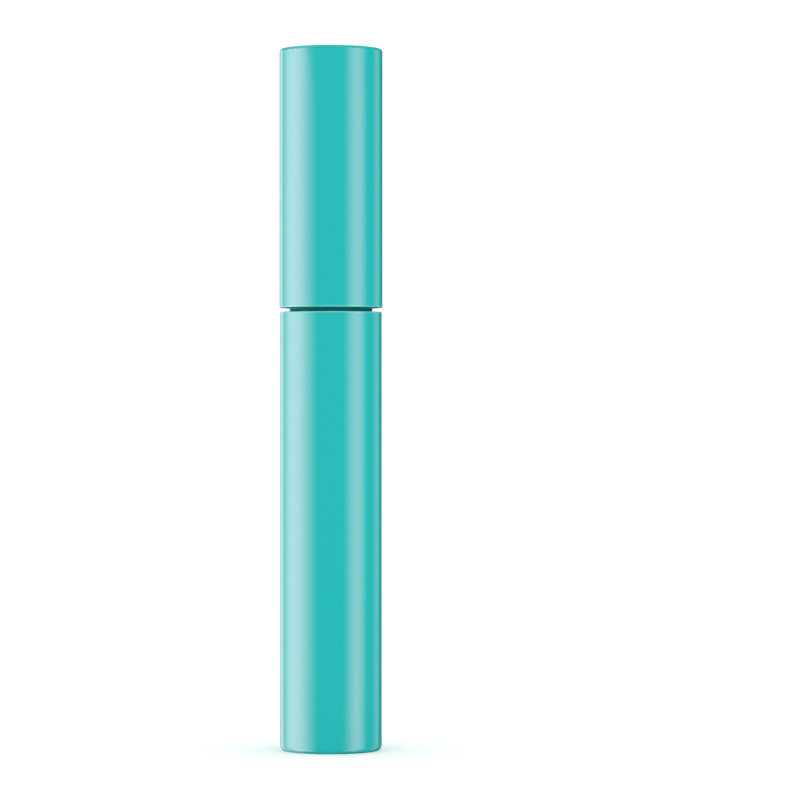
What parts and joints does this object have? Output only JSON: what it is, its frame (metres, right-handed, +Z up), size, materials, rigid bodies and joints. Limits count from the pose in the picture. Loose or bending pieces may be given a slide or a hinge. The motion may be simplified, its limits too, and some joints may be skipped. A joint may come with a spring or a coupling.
{
  "type": "mascara tube",
  "caption": "Slim round mascara tube with a screw-on cap that carries a rod and a twisted-wire bristle brush.",
  "frame": {"origin": "middle of the base, on the surface that the tube stands on", "axes": "+Z up along the tube, from the bottle's foot to the cap's top"},
  "size_m": [0.018, 0.018, 0.1227],
  "materials": {
    "shell_teal": "satin gloss, moulded teal plastic",
    "inner_cap_teal": "dark teal moulded plastic",
    "vial_plastic": "natural milky polypropylene",
    "soft_seal": "soft white seal plastic",
    "rod_black": "glossy black",
    "wire_steel": "drawn wire",
    "bristle_black": "black nylon bristle loaded with mascara",
    "mascara_black": "wet black paste"
  },
  "bodies": {
    "bottle": {"outer_bottle": "shell_teal", "inner_vial": "vial_plastic", "wiper": "soft_seal"},
    "paste": {"mascara_paste": "mascara_black"},
    "washer": {"seal_washer": "soft_seal"},
    "applicator": {"outer_cap": "shell_teal", "inner_cap": "inner_cap_teal", "rod": "rod_black", "core_wire": "wire_steel", "bristle_row_01": "bristle_black", "bristle_row_02": "bristle_black", "bristle_row_03": "bristle_black", "bristle_row_04": "bristle_black", "bristle_row_05": "bristle_black", "bristle_row_06": "bristle_black", "bristle_row_07": "bristle_black", "bristle_row_08": "bristle_black", "bristle_row_09": "bristle_black", "bristle_row_10": "bristle_black", "bristle_row_11": "bristle_black", "bristle_row_12": "bristle_black", "bristle_row_13": "bristle_black"}
  },
  "joints": [
    {"name": "cap_twist", "type": "hinge", "parent": "bottle", "child": "paste", "pos_m": [0, 0, 0.0824], "axis": [0, 0, 1], "range_deg": [0, 540]},
    {"name": "wand_withdraw", "type": "slide", "parent": "paste", "child": "washer", "axis": [0, 0, 1], "range_m": [0, 0.07], "deforming": ["wiper"]},
    {"name": "cap_rise", "type": "slide", "parent": "washer", "child": "applicator", "axis": [0, 0, 1], "range_m": [0, 0.00376]}
  ],
  "couplings": [
    {"joint": "cap_rise", "follows": "cap_twist", "m_per_rad": 0.00039789}
  ]
}
